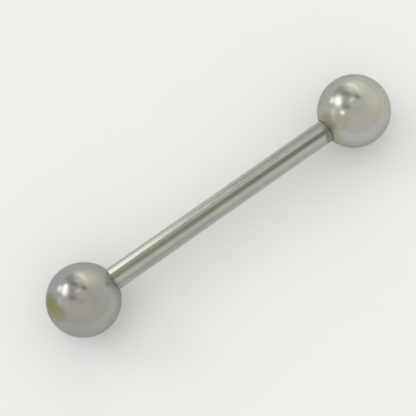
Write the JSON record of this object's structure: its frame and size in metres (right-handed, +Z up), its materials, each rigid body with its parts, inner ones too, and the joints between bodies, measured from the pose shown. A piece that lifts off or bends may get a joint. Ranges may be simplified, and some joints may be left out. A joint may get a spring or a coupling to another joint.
{
  "type": "straight barbell",
  "caption": "Straight body jewellery barbell: a round steel bar with threaded ends and a screw-on ball on each end, lying on its balls.",
  "frame": {"origin": "on the ground below the middle of the bar; the two balls rest on the ground", "axes": "+X along the bar towards the right ball, +Z up"},
  "size_m": [0.0272, 0.005, 0.005],
  "materials": {
    "bar_steel": "polished with faint drawing marks",
    "ball_steel": "mirror polished"
  },
  "bodies": {
    "bar": {"bar": "bar_steel"},
    "ball_left": {"ball_left": "ball_steel"},
    "ball_right": {"ball_right": "ball_steel"}
  },
  "joints": [
    {"name": "ball_left_unscrew", "type": "slide", "parent": "bar", "child": "ball_left", "axis": [-1, 0, 0], "range_m": [0, 0.005]},
    {"name": "ball_right_unscrew", "type": "slide", "parent": "bar", "child": "ball_right", "axis": [1, 0, 0], "range_m": [0, 0.005]}
  ]
}
